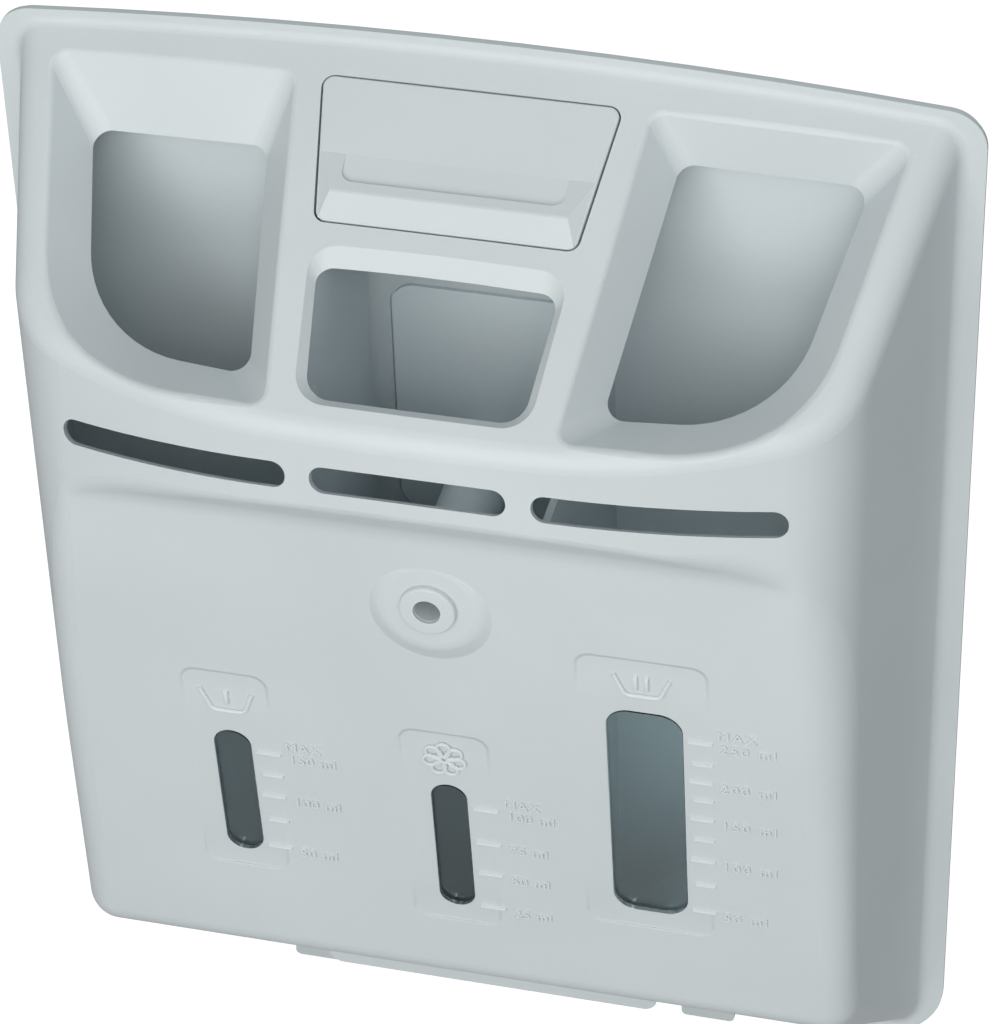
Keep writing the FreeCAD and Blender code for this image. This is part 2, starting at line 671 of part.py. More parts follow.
def front_cover():
    outer = body(0, SEAM)
    cover = rim_hollow(rim_plate(0, FACE, SEAM).fuse(outer))
    lip = Part.makeBox(2 * LIP_X, LIP_T, LIP_H, Vector(-LIP_X, -LIP_Y - LIP_T, TOP - LIP_Z))
    lip = lip.makeFillet(LIP_R, low_corners(lip))
    foot_r = BOSS_R + BOSS_SPREAD * BOSS_D
    pad = Part.makeCone(foot_r, BOSS_R, BOSS_D, Vector(0, -BOSS_Y + BOSS_D, TOP - SIPHON_Z), Vector(0, -1, 0))
    pad = pad.makeFillet(BOSS_EDGE, [e for e in pad.Edges if e.BoundBox.YMax < -BOSS_Y + BOSS_D / 2])
    ring = round_bar(RING_R, -RING_Y, -BOSS_Y + 2, TOP - SIPHON_Z)
    cover = cover.fuse([lip, pad, ring]).cut(body(WALL, 5))
    pipe = round_bar(PIPE_R, -BOSS_Y + 1, -PIPE_END, TOP - SIPHON_Z)
    inside = [pipe, pocket().common(outer)]
    for side, top in ((1, MOUTH_TOP_MAIN), (-1, MOUTH_TOP_PRE)):
        inside.append(funnel(top, side, (-0.1, 1.0), FUNNEL_T).common(outer))
    cover = cover.fuse(inside)
    for side, top in ((1, MOUTH_TOP_MAIN), (-1, MOUTH_TOP_PRE)):
        cover = ease_bevel(cover.cut(funnel(top, side, (-0.6, 1.25), 0)), side)
    cuts = [softener_cut(), round_bar(SIPHON_R, -NOSE_Y - 5, 0, TOP - SIPHON_Z)]
    cuts.append(slot(-SLOT_MID_X, SLOT_MID_X))
    cuts.append(slot(SLOT_IN_X, SLOT_OUT_X))
    cuts.append(slot(-SLOT_OUT_X, -SLOT_IN_X))
    for win in (WIN_PRE, WIN_SOFT, WIN_MAIN):
        cuts.append(window_block(win, 0, -3 * WALL, 3))
    for plate in (PLATE_PRE, PLATE_SOFT, PLATE_MAIN):
        cuts.append(plate_cut(plate))
    lever_hole = trapezoid(LEV_X_TOP, LEV_TOP, LEV_X_LOW, LEV_LOW, 6, [LEV_R] * 4)
    cuts.append(on_panel(prism(lever_hole, (0, 0, -6 - 1.5 * WALL))))
    cuts.append(pivot_axis(-CHEEK_X - CHEEK_T - 1, -CHEEK_X + 1, PIVOT_R + PIVOT_PLAY))
    cuts.append(pivot_axis(CHEEK_X - 1, CHEEK_X + CHEEK_T + 1, PIVOT_R + PIVOT_PLAY))
    return cover.cut(cuts)


def flat_rounded(x, z0, z1, y0, y1, r):
    """Upright plate with rounded corners between two depths."""
    pts = [(-x, y0, z0), (x, y0, z0), (x, y0, z1), (-x, y0, z1)]
    return prism(rounded(pts, [r] * 4), (0, y1 - y0, 0))


def partition(side):
    """Wall between two chambers, up to the panel in front of the lever's pocket."""
    x = PART_X if side > 0 else -PART_X - PART_T
    s = POCKET_S + POCKET_T + PART_CLEAR
    foot = PANEL.multVec(Vector(x, -s, -POCKET_D))
    head = PANEL.multVec(Vector(x, -s, WALL))
    level = TOP - PART_TOP
    pts = [
        Vector(x, SEAM, LOW),
        Vector(x, SEAM, level),
        Vector(x, foot.y, level),
        foot,
        head,
        Vector(x, -NOSE_Y, head.z),
        Vector(x, -NOSE_Y, LOW),
    ]
    wall = prism(Part.makePolygon(pts + pts[:1]), (PART_T, 0, 0))
    notch = Part.makeBox(PART_T, NOSE_Y, NOTCH_LOW - NOTCH_TOP, Vector(x, -NOTCH_Y - NOSE_Y, TOP - NOTCH_LOW))
    return wall.cut(notch)


def root_cove(side):
    """Hollow fillet between a partition's inner face and the rear plate."""
    level = TOP - PART_TOP
    corner = Part.makeBox(PART_R, PART_R, level - LOW, Vector(PART_X - PART_R, SEAM - PART_R, LOW))
    round_off = Part.makeCylinder(PART_R, level - LOW, Vector(PART_X - PART_R, SEAM - PART_R, LOW))
    cove = corner.cut(round_off)
    return cove if side > 0 else cove.mirror(Vector(0, 0, 0), Vector(1, 0, 0))


def rear_cover():
    plate = rim_plate(BACK_INSET, SEAM, 0)
    z0, z1 = TOP - CAP_LOW, TOP - CAP_TOP
    g = CAP_GAP
    hole = flat_rounded(CAP_X + g, z0 - g, z1 + g, -10, 5, CAP_R + g)
    rim = CAP_RIM + g
    rebate = flat_rounded(CAP_X + rim, z0 - rim, z1 + rim, -CAP_SEAT, 5, CAP_R + rim)
    catch = Part.makeBox(2 * CATCH_X, 20, CATCH_LOW - CATCH_TOP, Vector(-CATCH_X, -10, TOP - CATCH_LOW))
    limit = body(WALL + PART_GAP, SEAM)
    walls = []
    for side in (-1, 1):
        walls.append(partition(side).fuse(root_cove(side)).common(limit))
        x0, x1 = PART_X + PART_T / 2, RIM_W / 2
        pts = []
        for xx, dz in ((x0, 0), (x1, 0), (x1, -RAMP_T), (x0, -RAMP_T)):
            level = TOP - RAMP_Z + (xx - RAMP_X) * RAMP_RISE + dz
            pts.append(Vector(side * xx, SEAM - RIM_W, level))
        ramp = prism(Part.makePolygon(pts + pts[:1]), (0, RIM_W, 0))
        walls.append(ramp.common(limit))
        tab_x = TAB_IN if side > 0 else -TAB_OUT
        drop = TAB_DROP + TAB_ROOT
        tab = Part.makeBox(TAB_OUT - TAB_IN, BACK_T, drop, Vector(tab_x, SEAM, LOW - TAB_DROP))
        walls.append(tab.makeFillet(TAB_R, low_corners(tab)))
    return plate.fuse(walls).cut([hole, rebate, catch])


def siphon_cap():
    z0, z1 = TOP - CAP_LOW, TOP - CAP_TOP
    back = -CAP_BACK
    panel = flat_rounded(CAP_X, z0, z1, back - CAP_T, back, CAP_R)
    seat = -CAP_SEAT + CAP_PLAY
    rim = flat_rounded(CAP_X + CAP_RIM, z0 - CAP_RIM, z1 + CAP_RIM, seat, back, CAP_R + CAP_RIM)
    bell = round_bar(BELL_R, -BELL_END, back - 1, TOP - SIPHON_Z)
    bore = round_bar(BELL_BORE, -BELL_END - 1, back - CAP_T, TOP - SIPHON_Z)
    grip_z = z0 + CAP_GRIP_UP
    grip = flat_rounded(CAP_GRIP_X, grip_z, grip_z + CAP_GRIP_H, back - CAP_T / 2, FAR, CAP_GRIP_R)
    return panel.fuse([rim, bell]).cut([bore, grip])


def release_lever():
    x_top, top = LEV_X_TOP - LEV_GAP, LEV_TOP + LEV_GAP_TOP
    x_low, low = LEV_X_LOW - LEV_GAP, LEV_LOW - LEV_GAP_LOW
    radii = [LEV_R - LEV_GAP] * 4
    flap = prism(trapezoid(x_top, top, x_low, low, 0, radii), (0, 0, -LEV_T))
    flap = flap.makeFillet(LEV_EASE, [e for e in flap.Edges if e.BoundBox.ZMin > -LEV_EASE / 2])

    def end_x(s):
        return x_top + (x_low - x_top) * (s - top) / (low - top) - LEV_EASE

    base = trapezoid(end_x(RIDGE_A), RIDGE_A, end_x(low), low - LEV_EASE, 0, [0] * 4)
    crest_x = end_x(RIDGE_S) - RIDGE_END
    crest = trapezoid(crest_x, RIDGE_S - RIDGE_W, crest_x, RIDGE_S, RIDGE_H, [0] * 4)
    ridge = loft(base, crest)
    field = [(RIDGE_A, 0), (GRIP_S, GRIP_RISE), (GRIP_S, 2 * RIDGE_H), (RIDGE_A, 2 * RIDGE_H)]
    pts = [Vector(-GRIP_X, -s, n) for s, n in field]
    grip = prism(Part.makePolygon(pts + pts[:1]), (2 * GRIP_X, 0, 0))
    ends = []
    for e in grip.Edges:
        box = e.BoundBox
        if box.XLength < 0.01 and box.YLength < 0.01 and abs(box.YMin + GRIP_S) < 0.01:
            ends.append(e)
    grip = grip.makeFillet(GRIP_R, ends)
    flap = on_panel(flap.fuse(ridge.cut(grip)))
    pieces = []
    for side in (-1, 1):
        x = EAR_IN if side > 0 else -EAR_IN - EAR_T
        web = Part.makeBox(EAR_T, 2 * EAR_R, -PIVOT_N - 1, Vector(x, -PIVOT_S - EAR_R, PIVOT_N))
        pieces.append(on_panel(web))
        pieces.append(pivot_axis(x, x + EAR_T, EAR_R))
        pin = CHEEK_X + CHEEK_T - PIN_END
        x0, x1 = (EAR_IN, pin) if side > 0 else (-pin, -EAR_IN)
        pieces.append(pivot_axis(x0, x1, PIVOT_R))
    root = PANEL.multVec(Vector(0, -PIVOT_S, PIVOT_N))
    z = root.z
    tongue = [
        (root.y - HOOK_ROOT, z + 2 * HOOK_RISE),
        (HOOK_Y, z + HOOK_RISE),
        (HOOK_Y, z - HOOK_DROP),
        (HOOK_Y - HOOK_T, z - HOOK_DROP),
        (HOOK_Y - HOOK_T, z - HOOK_RISE / 2),
        (root.y - HOOK_ROOT / 3, z - 1.5 * HOOK_RISE),
        (root.y - HOOK_ROOT - HOOK_RISE, z - 4 * HOOK_RISE),
    ]
    pts = [Vector(-HOOK_X, y, zz) for y, zz in tongue]
    hook = prism(Part.makePolygon(pts + pts[:1]), (2 * HOOK_X, 0, 0))
    under = on_panel(Part.makeBox(FAR, FAR, FAR, Vector(-FAR / 2, -FAR / 2, -LEV_T / 2 - FAR)))
    pieces.append(hook.common(under))
    return flap.fuse(pieces)


def lever_spring():
    """Torsion spring round the right-hand trunnion, with a leg under the lever."""
    x0 = EAR_IN + EAR_T + SPRING_WIRE + SPRING_GAP
    length = SPRING_PITCH * SPRING_TURNS
    helix = Part.makeHelix(SPRING_PITCH, length, SPRING_R)
    first, last = helix.Edges[0], helix.Edges[-1]
    start = first.valueAt(first.FirstParameter)
    away = first.tangentAt(first.FirstParameter)
    end = last.valueAt(last.LastParameter)
    on = last.tangentAt(last.LastParameter)
    tip = start - away * SPRING_LEG
    leg = Part.makeLine(tip, start)
    tail = Part.makeLine(end, end + on * SPRING_TAIL)
    path = Part.Wire([leg] + helix.Edges + [tail])
    ring = Part.Wire([Part.makeCircle(SPRING_WIRE, tip, away)])
    spring = path.makePipeShell([ring], True, True)
    turned = Placement(Vector(x0, -PIVOT_S, PIVOT_N), Rotation(Vector(0, 1, 0), 90))
    spring.Placement = PANEL.multiply(turned)
    return spring


def level_window(win):
    pane = window_block(win, -WIN_GAP, -WALL, WIN_PROUD - PLATE_D)
    lip = window_block(win, WIN_LIP, -WALL - WIN_LIP_T, -WALL)
    return pane.fuse(lip)


def clean(shape):
    """Merge split faces and take the one solid out of a compound."""
    merged = shape.removeSplitter()
    solids = merged.Solids
    if len(solids) != 1:
        print("solids", len(solids), [round(s.Volume, 2) for s in solids])
    return solids[0]


NODES = {
    "front_cover": front_cover,
    "rear_cover": rear_cover,
    "siphon_cap": siphon_cap,
    "release_lever": release_lever,
    "lever_spring": lever_spring,
    "window_prewash": lambda: level_window(WIN_PRE),
    "window_softener": lambda: level_window(WIN_SOFT),
    "window_main": lambda: level_window(WIN_MAIN),
}

for name, make in NODES.items():
    part = clean(make())
    box = part.optimalBoundingBox()
    size = (round(box.XLength, 1), round(box.YLength, 1), round(box.ZLength, 1))
    print(name, part.isValid(), round(part.Volume), size)
    part.exportStep("parts/" + name + ".step")
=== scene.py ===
# %% [markdown]
# A detergent dispenser that clips into the lid of a top-loading washing machine. The mouldings, the
# lever, the spring and the windows come from the CAD model as a fixed frame, so this lesson starts by
# loading that frame. What is left for Blender is the light, the finish of each moulding, and the
# raised lettering and pictograms that a moulder cuts into the tool last of all.

# %% Load the frame
import math

import bpy
from mathutils import Matrix, Vector


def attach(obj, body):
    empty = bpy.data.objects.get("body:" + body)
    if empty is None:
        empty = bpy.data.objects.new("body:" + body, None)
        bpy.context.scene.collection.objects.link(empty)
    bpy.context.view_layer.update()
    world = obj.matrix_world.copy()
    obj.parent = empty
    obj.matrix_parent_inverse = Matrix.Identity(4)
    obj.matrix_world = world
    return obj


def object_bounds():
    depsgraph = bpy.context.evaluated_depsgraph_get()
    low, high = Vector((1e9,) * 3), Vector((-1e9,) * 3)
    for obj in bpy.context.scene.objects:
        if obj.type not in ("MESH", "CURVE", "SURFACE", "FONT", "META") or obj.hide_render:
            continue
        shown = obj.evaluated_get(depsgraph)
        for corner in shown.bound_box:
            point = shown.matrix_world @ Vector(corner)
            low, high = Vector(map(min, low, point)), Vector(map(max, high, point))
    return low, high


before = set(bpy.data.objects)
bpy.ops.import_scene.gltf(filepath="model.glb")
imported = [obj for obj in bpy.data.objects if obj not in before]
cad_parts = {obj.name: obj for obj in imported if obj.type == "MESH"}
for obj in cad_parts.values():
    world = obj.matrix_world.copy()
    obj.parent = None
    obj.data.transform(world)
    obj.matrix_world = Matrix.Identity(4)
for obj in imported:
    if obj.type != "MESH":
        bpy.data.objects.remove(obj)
cad_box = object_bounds()
bpy.ops.object.select_all(action="DESELECT")
scene = bpy.context.scene
scene.view_settings.view_transform = "Standard"
MM = 0.001
RIM_LEVEL = 152.5          # height of the rim's top corners, mm; drops are measured down from here
print("nodes:", ", ".join(sorted(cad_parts)))
print("box in mm:", [[round(v / MM, 1) for v in corner] for corner in cad_box])

# %% [markdown]
# The camera stands where the photographer stood: a little to the right of the dispenser and well above
# it. A long lens keeps the sides nearly parallel. The place and turn were worked out from the corners
# of the rim, so they are given as an eye point and three axes rather than aimed by hand.

# %% Camera
EYE = Vector((227.557, -836.832, 701.961)) * MM
RIGHT = Vector((0.9698777, 0.24204818, -0.02738469))
UP = Vector((-0.12996687, 0.60927248, 0.7822376))
BACK = Vector((0.20602392, -0.7551157, 0.62237804))
FOCAL_PX = 4268
IMAGE_H = 1024
SENSOR = 36
CLIP_FAR = 20

bpy.ops.object.camera_add()
camera = bpy.context.object
camera.name = "photo_camera"
turn = Matrix((RIGHT, UP, BACK)).transposed().to_4x4()
camera.matrix_world = Matrix.Translation(EYE) @ turn
camera.data.sensor_fit = "VERTICAL"
camera.data.sensor_height = SENSOR
camera.data.lens = FOCAL_PX / IMAGE_H * SENSOR
camera.data.clip_end = CLIP_FAR
scene.camera = camera
print("lens in mm:", round(camera.data.lens, 1), "distance in mm:", round(EYE.length / MM))

# %% [markdown]
# Shader maths reads best as ordinary sums. This small class wraps one socket, so that a + b or 1 - a
# adds the Math node by itself. Every other node comes from one method, which takes the node's type, its
# settings and what goes into its sockets.

# %% Writing shader maths as expressions
class Shade:
    def __init__(self, tree, socket=None):
        self.tree = tree
        self.socket = socket

    def node(self, kind, settings=(), sockets=(), out=0):
        made = self.tree.nodes.new("ShaderNode" + kind)
        for name, value in dict(settings).items():
            if name == "stops":
                for stop, (place, colour) in zip(made.color_ramp.elements, value):
                    stop.position = place
                    stop.color = (*colour, 1)
            else:
                setattr(made, name, value)
        for name, value in dict(sockets).items():
            if isinstance(value, Shade):
                self.tree.links.new(value.socket, made.inputs[name])
            else:
                made.inputs[name].default_value = value
        return Shade(self.tree, made.outputs[out] if made.outputs else None)

    def sum(self, operation, first, second):
        return self.node("Math", {"operation": operation}, {0: first, 1: second})

    def __add__(self, other):
        return self.sum("ADD", self, other)

    def __sub__(self, other):
        return self.sum("SUBTRACT", self, other)

    def __rsub__(self, other):
        return self.sum("SUBTRACT", other, self)

    def __mul__(self, other):
        return self.sum("MULTIPLY", self, other)


def new_finish(name):
    finish = bpy.data.materials.new(name)
    finish.use_nodes = True
    finish.node_tree.nodes.clear()
    return finish, Shade(finish.node_tree)


def set_surface(shade, surface):
    shade.node("OutputMaterial", {}, {"Surface": surface})


print("shader sums ready")

# %% [markdown]
# The stage is a plain pale floor under plain soft light. The photograph is cut out on white, so the
# floor and the world show white to the camera, while the light that reaches the dispenser stays at an
# ordinary level. The floor glows only for the camera and through clear plastic, and lights nothing.

# %% Floor and world
FLOOR_HALF = 4.0
FLOOR_GAP = 0.0005         # the floor lies this far below the tabs, m
FLOOR_TONE = 0.5
FLOOR_GLOW = 0.85          # what the camera sees on top of the lit floor
ROOM_LEVEL = 0.37          # the room's light on the dispenser; the camera sees it at 1
ROOM_TINT = (0.94, 1.0, 1.02, 1)

bpy.ops.mesh.primitive_plane_add(size=2 * FLOOR_HALF, location=(0, 0, cad_box[0][2] - FLOOR_GAP))
floor = bpy.context.object
floor.name = "studio_floor"
bpy.ops.object.transform_apply(location=True)
floor_finish, s = new_finish("pale_floor")
seen = s.node("LightPath", out="Is Camera Ray") + s.node("LightPath", out="Is Transmission Ray")
glow = s.node("Emission", {}, {"Color": (1, 1, 1, 1), "Strength": seen * FLOOR_GLOW})
chalk = s.node("BsdfDiffuse", {}, {"Color": (FLOOR_TONE, FLOOR_TONE, FLOOR_TONE, 1)})
set_surface(s, s.node("AddShader", {}, {0: chalk, 1: glow}))
floor.data.materials.append(floor_finish)

world = bpy.data.worlds.new("studio_room")
scene.world = world
world.use_nodes = True
world.node_tree.nodes.clear()
w = Shade(world.node_tree)
seen = w.node("LightPath", out="Is Camera Ray") + w.node("LightPath", out="Is Transmission Ray")
level = seen * (1 - ROOM_LEVEL) + ROOM_LEVEL
room = w.node("Background", {}, {"Color": ROOM_TINT, "Strength": level})
w.node("OutputWorld", {}, {"Surface": room})
print("floor at z mm:", round(floor.data.vertices[0].co.z / MM, 2))

# %% [markdown]
# Four square lamps light the dispenser. The broad key lamp stands in front and a little above, so that
# the lower panel and the bevels of the mouths read clearly. A small fill beside the camera reaches down
# through the mouths to the rear plate. The side lamp opens up the right-hand wall, and the top lamp
# draws the edge of the rim.

# %% Lamps
def soft_box(name, azimuth, elevation, distance, size, watts, tint):
    """A square lamp that faces the middle of the panel. Azimuth 0 is straight in front."""
    a, e = math.radians(azimuth), math.radians(elevation)
    away = Vector((math.sin(a) * math.cos(e), -math.cos(a) * math.cos(e), math.sin(e)))
    bpy.ops.object.light_add(type="AREA", location=away * distance)
    lamp = bpy.context.object
    lamp.name = name
    lamp.rotation_euler = away.to_track_quat("Z", "Y").to_euler()
    lamp.data.size = size
    lamp.data.energy = watts
    lamp.data.color = tint


LAMPS = [                  # name, azimuth, elevation, distance in m, size in m, watts, tint
    ("key_lamp", -4, 17, 1.6, 1.3, 16.2, (1.0, 0.972, 0.945)),
    ("fill_lamp", 15, 38, 1.7, 0.35, 1.5, (1.0, 0.96, 0.93)),
    ("side_lamp", 45, 40, 1.8, 1.0, 3, (0.97, 0.985, 1.0)),
    ("top_lamp", 10, 76, 1.7, 0.6, 1.6, (1.0, 0.95, 0.91)),
]
for lamp in LAMPS:
    soft_box(*lamp)

# %% [markdown]
# The plates round the windows are sunk by a few tenths of a millimetre. They are hollows in the CAD
# model, and a bump in the cover's finish draws their edges crisper. It steps up at the outline of a
# rectangle with round corners. As on the part, the step is clear above and below and runs out along the
# sides.

# %% Outlines of the sunk plates
PLATES = [                 # middle, width, upper drop, lower drop and corner radius in mm
    (-56.5, 22.6, 152.0, 224.8, 4.0),
    (0.4, 23.2, 163.0, 234.4, 4.0),
    (52.5, 33.1, 126.6, 225.6, 4.0),
]
PLATE_STEP = 0.0004        # height of the step at a plate's edge, m
PLATE_SOFT = 0.0006        # and half its run
PLATE_ENDS = (16, 3)       # along the sides it grows from the first distance to the ends to the second


def plate_level(s, place):
    """0 on the sunk plates and 1 outside them, from the distance to each plate's outline."""
    x = s.node("SeparateXYZ", {}, {"Vector": place}, out="X")
    z = s.node("SeparateXYZ", {}, {"Vector": place}, out="Z")
    smooth = {"interpolation_type": "SMOOTHSTEP"}
    level = 1
    for middle, width, top, low, corner in PLATES:
        half = (low - top) / 2
        over_x = s.sum("ABSOLUTE", x - middle * MM, 0) - (width / 2 - corner) * MM
        away = s.sum("ABSOLUTE", z - (RIM_LEVEL - (top + low) / 2) * MM, 0)
        over_z = away - (half - corner) * MM
        out_x = s.sum("MAXIMUM", over_x, 0)
        out_z = s.sum("MAXIMUM", over_z, 0)
        far = s.sum("SQRT", out_x * out_x + out_z * out_z, 0)
        near = s.sum("MINIMUM", s.sum("MAXIMUM", over_x, over_z), 0)
        edge = s.node("MapRange", smooth, {
            "Value": far + near - corner * MM, "From Min": -PLATE_SOFT, "From Max": PLATE_SOFT})
        start, full = [(half - d) * MM for d in PLATE_ENDS]
        sunk = s.node("MapRange", smooth, {"Value": away, "From Min": start, "From Max": full})
        level = (1 - (1 - edge) * sunk) * level
    return level


print("plates:", len(PLATES), "sunk by mm:", PLATE_STEP / MM)

# %% [markdown]
# The covers are injection-moulded in a light, cool grey. The tool's steel is spark-eroded, which leaves
# a fine satin grain, and thick places sink and flow a little, which shows as very soft mottling. So the
# finish has a grain of about half a millimetre in its bump, and slow changes in tone and gloss. One
# recipe does for all four mouldings and for the raised marks. The front cover adds the plates. The rear
# cover is painted darker at its two tabs below, as painted shade near the floor.

# %% Moulded plastic
GRAIN_SCALE = 1900         # noise per metre: the eroded grain,
FLOW_SCALE = 16            # the flow of the plastic
SINK_SCALE = 55            # and the sink marks
FLOW_SHARE = 0.8           # shares of flow and grain in the tone
GRAIN_SHARE = 0.2
TONE_STOPS = (0.3, 0.7)    # noise levels of the deep and the pale tone
DEEP, PALE = 0.965, 1.025
GLOSS_FLOW = 0.10          # how much flow and grain roughen the surface,
GLOSS_GRAIN = 0.06
GLOSS_MEAN = 0.08          # which is their mean together
GRAIN_DEPTH = 0.00006      # depth of the grain, m
SINK_SHARE = 0.6
PLASTIC_IOR = 1.5
TAB_SHADE_LEVEL = -0.1518        # the tabs' painted shade begins at this height, m
TAB_SHADE_RUN = 0.0012           # and is full this much lower
# the darker tone painted on the tabs as painted shade
TAB_SHADE_TONE = (0.53, 0.58, 0.60, 1)


def moulded_plastic(name, tone, gloss, grain, shaded_tabs=False, plates=False):
    """A satin plastic of this tone. Gloss is its mean roughness, grain the strength of its bump."""
    finish, s = new_finish(name)
    place = s.node("TexCoord", out="Object")
    fine = s.node("TexNoise", {}, {"Vector": place, "Scale": GRAIN_SCALE, "Detail": 2, "Roughness": 0.6})
    flow = s.node("TexNoise", {}, {"Vector": place, "Scale": FLOW_SCALE, "Detail": 3, "Roughness": 0.5})
    sink = s.node("TexNoise", {}, {"Vector": place, "Scale": SINK_SCALE, "Detail": 1, "Roughness": 0.5})
    deep = tuple(c * DEEP for c in tone)
    pale = tuple(min(1, c * PALE) for c in tone)
    stops = list(zip(TONE_STOPS, (deep, pale)))
    colour = s.node("ValToRGB", {"stops": stops}, {"Fac": flow * FLOW_SHARE + fine * GRAIN_SHARE})
    # Painted shade: the rear cover turns darker at its two tabs.
    if shaded_tabs:
        height = s.node("SeparateXYZ", {}, {"Vector": place}, out="Z")
        tab_shade = s.node("MapRange", {}, {
            "Value": height, "From Min": TAB_SHADE_LEVEL, "From Max": TAB_SHADE_LEVEL - TAB_SHADE_RUN})
        colour = s.node("MixRGB", {}, {"Fac": tab_shade, "Color1": colour, "Color2": TAB_SHADE_TONE})
    rough = flow * GLOSS_FLOW + fine * GLOSS_GRAIN + (gloss - GLOSS_MEAN)
    relief = {"Strength": grain, "Distance": GRAIN_DEPTH, "Height": fine + sink * SINK_SHARE}
    if plates:
        relief["Normal"] = s.node("Bump", {}, {
            "Strength": 1.0, "Distance": PLATE_STEP, "Height": plate_level(s, place)})
    bump = s.node("Bump", {}, relief)
    set_surface(s, s.node("BsdfPrincipled", {}, {
        "Base Color": colour, "Roughness": rough, "IOR": PLASTIC_IOR, "Normal": bump}))
    return finish


COVER_GREY = (0.597, 0.648, 0.668)
# The rear cover and the siphon cap are seen mostly through the mouths; their paler greys are painted
# light for the light that falls into the chambers.
REAR_PAINTED_LIGHT_GREY = (0.680, 0.757, 0.788)
SIPHON_PAINTED_LIGHT_GREY = (0.830, 0.930, 0.970)
MARK_HIGHLIGHT_GREY = (0.675, 0.725, 0.745)
finishes = {
    "front_cover": moulded_plastic(
        "satin_cover_grey", COVER_GREY, gloss=0.42, grain=0.5, plates=True),
    "release_lever": moulded_plastic(
        "satin_lever_grey", COVER_GREY, gloss=0.40, grain=0.45),
    "rear_cover": moulded_plastic(
        "satin_rear_grey", REAR_PAINTED_LIGHT_GREY, gloss=0.46, grain=0.5, shaded_tabs=True),
    "siphon_cap": moulded_plastic(
        "satin_siphon_grey", SIPHON_PAINTED_LIGHT_GREY, gloss=0.44, grain=0.45),
}
# The marks' paler grey is a painted highlight.
mark_finish = moulded_plastic("polished_mark_painted_highlight", MARK_HIGHLIGHT_GREY, gloss=0.36, grain=0.3)
print("plastics:", [f.name for f in finishes.values()] + [mark_finish.name])

# %% [markdown]
# The level windows are polished clear plastic with a cool tint. Little light gets in behind the two
# narrow ones, so their tint is painted deeper, as painted shade, and the wide one takes the paler tint.
# The spring is drawn steel wire, whose fine marks show as small changes in tone and gloss.

# %% Clear plastic and spring wire
HAZE_SCALE = 140
HAZE = 0.06                # roughness that the haze adds
POLISH = 0.01              # to the polished surface
CLEAR_IOR = 1.46
CLEAR_SHINE = 0.3
NARROW_SHADE_TINT = (0.63, 0.76, 0.80)
WIDE_TINT = (0.82, 0.94, 0.97)
DRAW_SCALE = 2600
WIRE_STOPS = [(0.3, (0.44, 0.44, 0.45)), (0.7, (0.62, 0.62, 0.62))]
WIRE_ROUGH = 0.22
DRAW_ROUGH = 0.15


def clear_plastic(name, tint):
    finish, s = new_finish(name)
    place = s.node("TexCoord", out="Object")
    haze = s.node("TexNoise", {}, {"Vector": place, "Scale": HAZE_SCALE, "Detail": 2, "Roughness": 0.5})
    set_surface(s, s.node("BsdfPrincipled", {}, {
        "Base Color": (*tint, 1), "Roughness": haze * HAZE + POLISH, "IOR": CLEAR_IOR,
        "Specular IOR Level": CLEAR_SHINE, "Transmission Weight": 1.0}))
    return finish


# The narrow windows' deeper tint is painted shade.
narrow = clear_plastic("clear_narrow_window_painted_shade", NARROW_SHADE_TINT)
finishes["window_prewash"] = narrow
finishes["window_softener"] = narrow
finishes["window_main"] = clear_plastic("clear_wide_window", WIDE_TINT)

wire, s = new_finish("drawn_spring_wire")
place = s.node("TexCoord", out="Object")
draw = s.node("TexNoise", {}, {"Vector": place, "Scale": DRAW_SCALE, "Detail": 2, "Roughness": 0.6})
tone = s.node("ValToRGB", {"stops": WIRE_STOPS}, {"Fac": draw})
set_surface(s, s.node("BsdfPrincipled", {}, {
    "Base Color": tone, "Metallic": 1.0, "Roughness": draw * DRAW_ROUGH + WIRE_ROUGH}))
finishes["lever_spring"] = wire

for name, finish in finishes.items():
    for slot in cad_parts[name].material_slots:
        slot.material = finish
print("finished nodes:", sorted(finishes))

# %% [markdown]
# The marks on the lower panel are cut into the tool as shallow grooves, so on the part they stand proud
# by about half a millimetre. The grooves are polished, so the marks come out a little glossier than the
# panel, and they are painted a little paler than it as a painted highlight. Each mark could be a
# texture, but then it would vanish from the side, so they are small solids. They are drawn flat in the
# XY plane, facing up, and only at the end are laid on the panel, which leans back by a tenth of its
# height.

# %% Places on the lower panel
PANEL_DROP = 91            # at this drop
PANEL_OUT = 69.6           # the panel lies this far in front of the rim
PANEL_LEAN = 0.1           # and it goes back this much for each mm further down
PANEL_END = 240            # down to this drop
SMOOTH_ANGLE = 40          # edges sharper than this stay sharp, degrees


def only(*pieces):
    """Select these pieces alone, the first one active."""
    bpy.ops.object.select_all(action="DESELECT")
    for piece in pieces:
        piece.select_set(True)
    bpy.context.view_layer.objects.active = pieces[0]


def lay_on_panel(mark, x, drop, lift):
    """Lay a flat mark on the lower panel, with its own height 0 at this lift above the surface."""
    up = Vector((0, -PANEL_LEAN, 1)).normalized()
    out = Vector((0, -1, -PANEL_LEAN)).normalized()
    spot = Vector((x, PANEL_LEAN * (drop - PANEL_DROP) - PANEL_OUT, RIM_LEVEL - drop)) + out * lift
    turn = Matrix((Vector((1, 0, 0)), up, out)).transposed().to_4x4()
    mark.matrix_world = Matrix.Translation(spot * MM) @ turn
    only(mark)
    bpy.ops.object.transform_apply(location=True, rotation=True, scale=True)


def copy_of(piece):
    """A copy with a mesh of its own."""
    twin = piece.copy()
    twin.data = piece.data.copy()
    scene.collection.objects.link(twin)
    return twin


